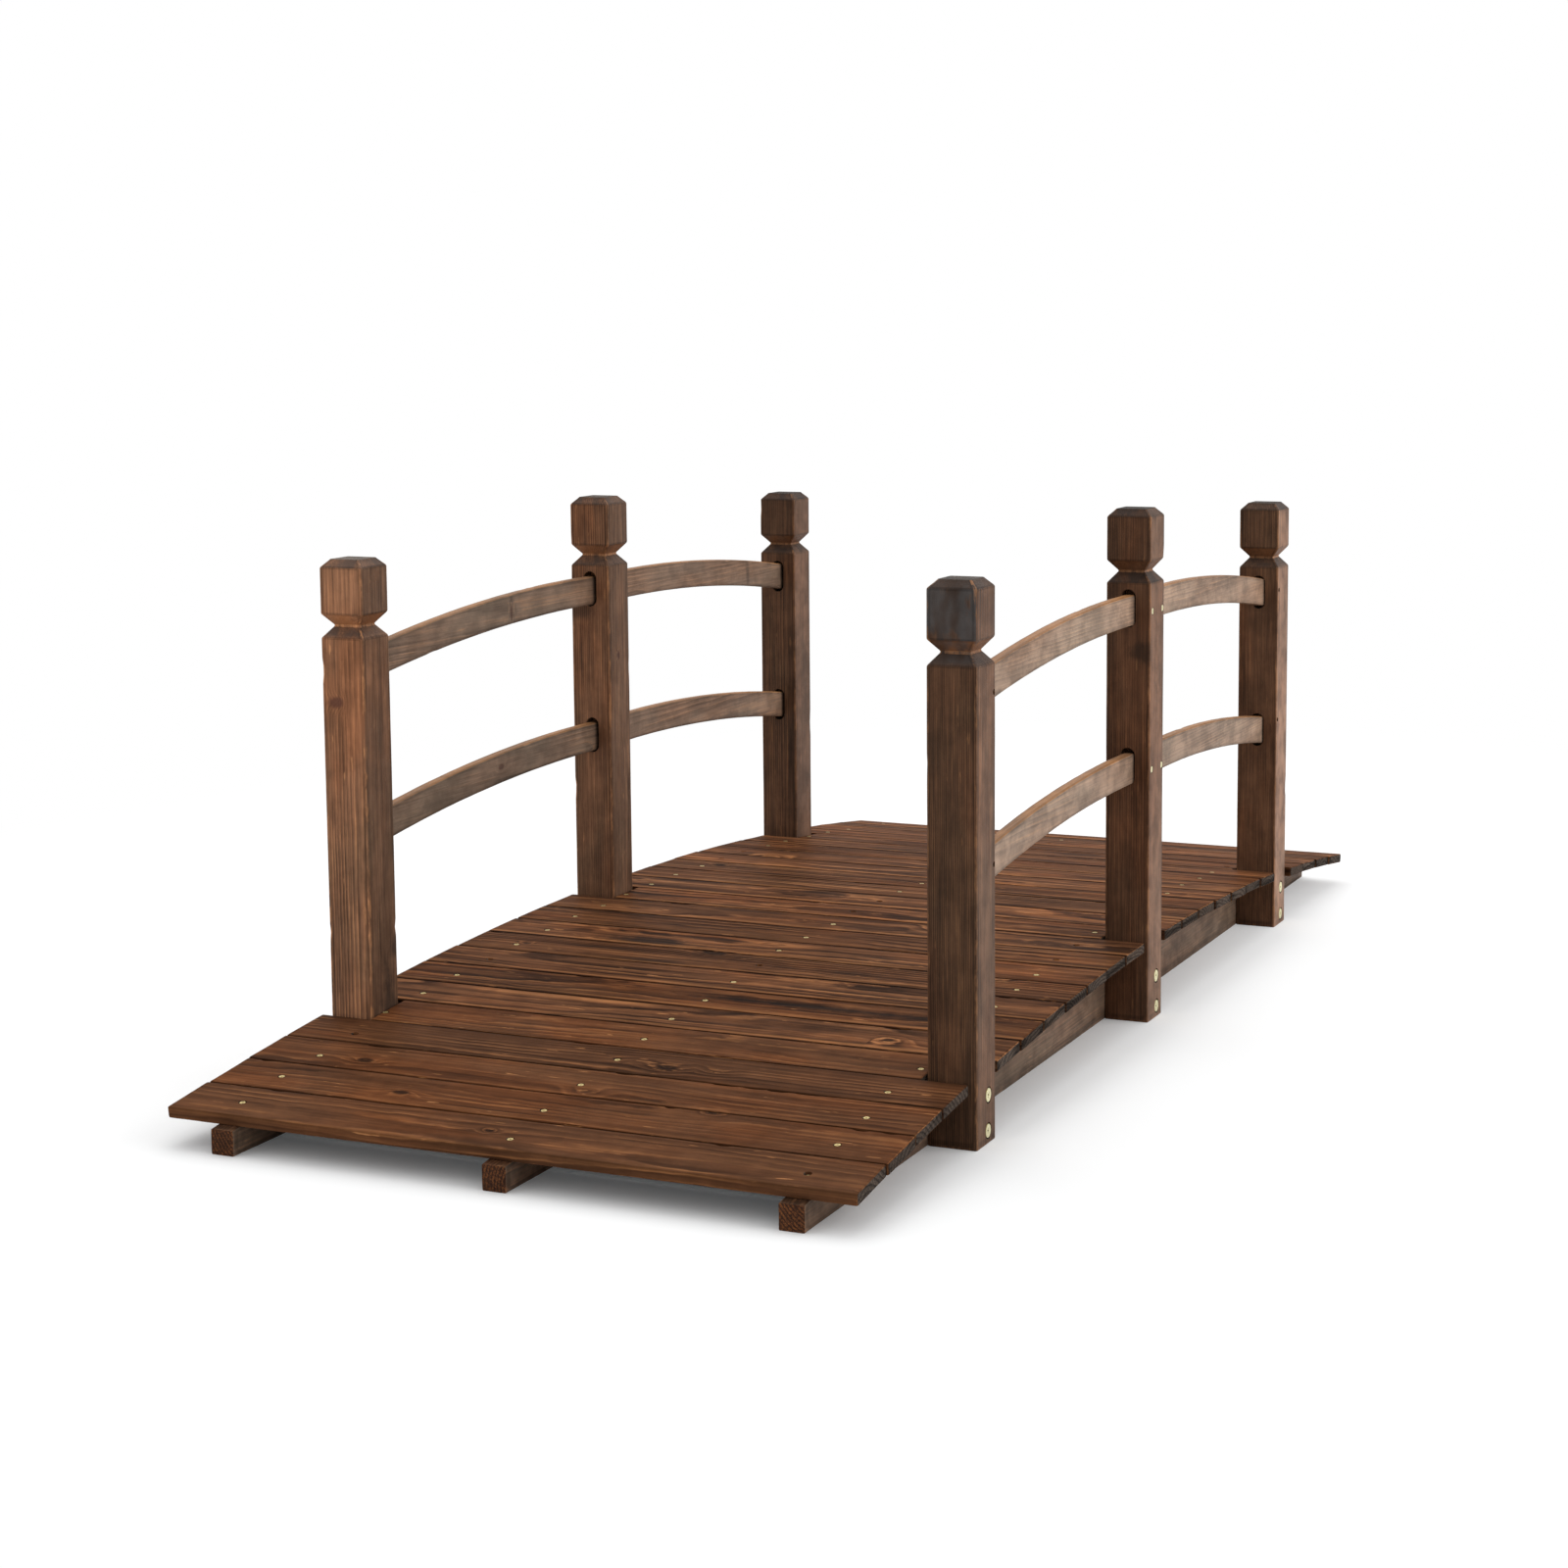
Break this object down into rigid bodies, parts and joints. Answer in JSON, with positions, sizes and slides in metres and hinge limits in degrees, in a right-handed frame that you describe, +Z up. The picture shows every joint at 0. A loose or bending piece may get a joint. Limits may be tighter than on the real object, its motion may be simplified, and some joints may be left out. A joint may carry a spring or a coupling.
{
  "type": "garden bridge",
  "caption": "Low arched wooden garden footbridge: cross planks on arched joists, square posts with V-necked heads and curved twin rails on both sides.",
  "frame": {"origin": "on the ground at the centre of the bridge's footprint", "axes": "+X along the bridge towards its far end, +Y to its left, +Z up"},
  "size_m": [1.51, 0.651, 0.508],
  "materials": {
    "joist_wood": "brushed, carbonised brown",
    "post_wood": "brushed, carbonised brown, charred in places",
    "rail_wood": "brushed, carbonised brown, greyer",
    "deck_wood": "brushed, carbonised brown with raised grain"
  },
  "bodies": {
    "root": {"joist_left": "joist_wood", "joist_middle": "joist_wood", "joist_right": "joist_wood", "post_near_left": "post_wood", "post_near_right": "post_wood", "post_middle_left": "post_wood", "post_middle_right": "post_wood", "post_far_left": "post_wood", "post_far_right": "post_wood", "rail_upper_near_left": "rail_wood", "rail_upper_near_right": "rail_wood", "rail_upper_far_left": "rail_wood", "rail_upper_far_right": "rail_wood", "rail_lower_near_left": "rail_wood", "rail_lower_near_right": "rail_wood", "rail_lower_far_left": "rail_wood", "rail_lower_far_right": "rail_wood", "deck_plank_01": "deck_wood", "deck_plank_02": "deck_wood", "deck_plank_03": "deck_wood", "deck_plank_04": "deck_wood", "deck_plank_05": "deck_wood", "deck_plank_06": "deck_wood", "deck_plank_07": "deck_wood", "deck_plank_08": "deck_wood", "deck_plank_09": "deck_wood", "deck_plank_10": "deck_wood", "deck_plank_11": "deck_wood", "deck_plank_12": "deck_wood", "deck_plank_13": "deck_wood", "deck_plank_14": "deck_wood", "deck_plank_15": "deck_wood", "deck_plank_16": "deck_wood", "deck_plank_17": "deck_wood", "deck_plank_18": "deck_wood", "deck_plank_19": "deck_wood", "deck_plank_20": "deck_wood", "deck_plank_21": "deck_wood", "deck_plank_22": "deck_wood", "deck_plank_23": "deck_wood", "deck_plank_24": "deck_wood", "deck_plank_25": "deck_wood"}
  },
  "joints": []
}
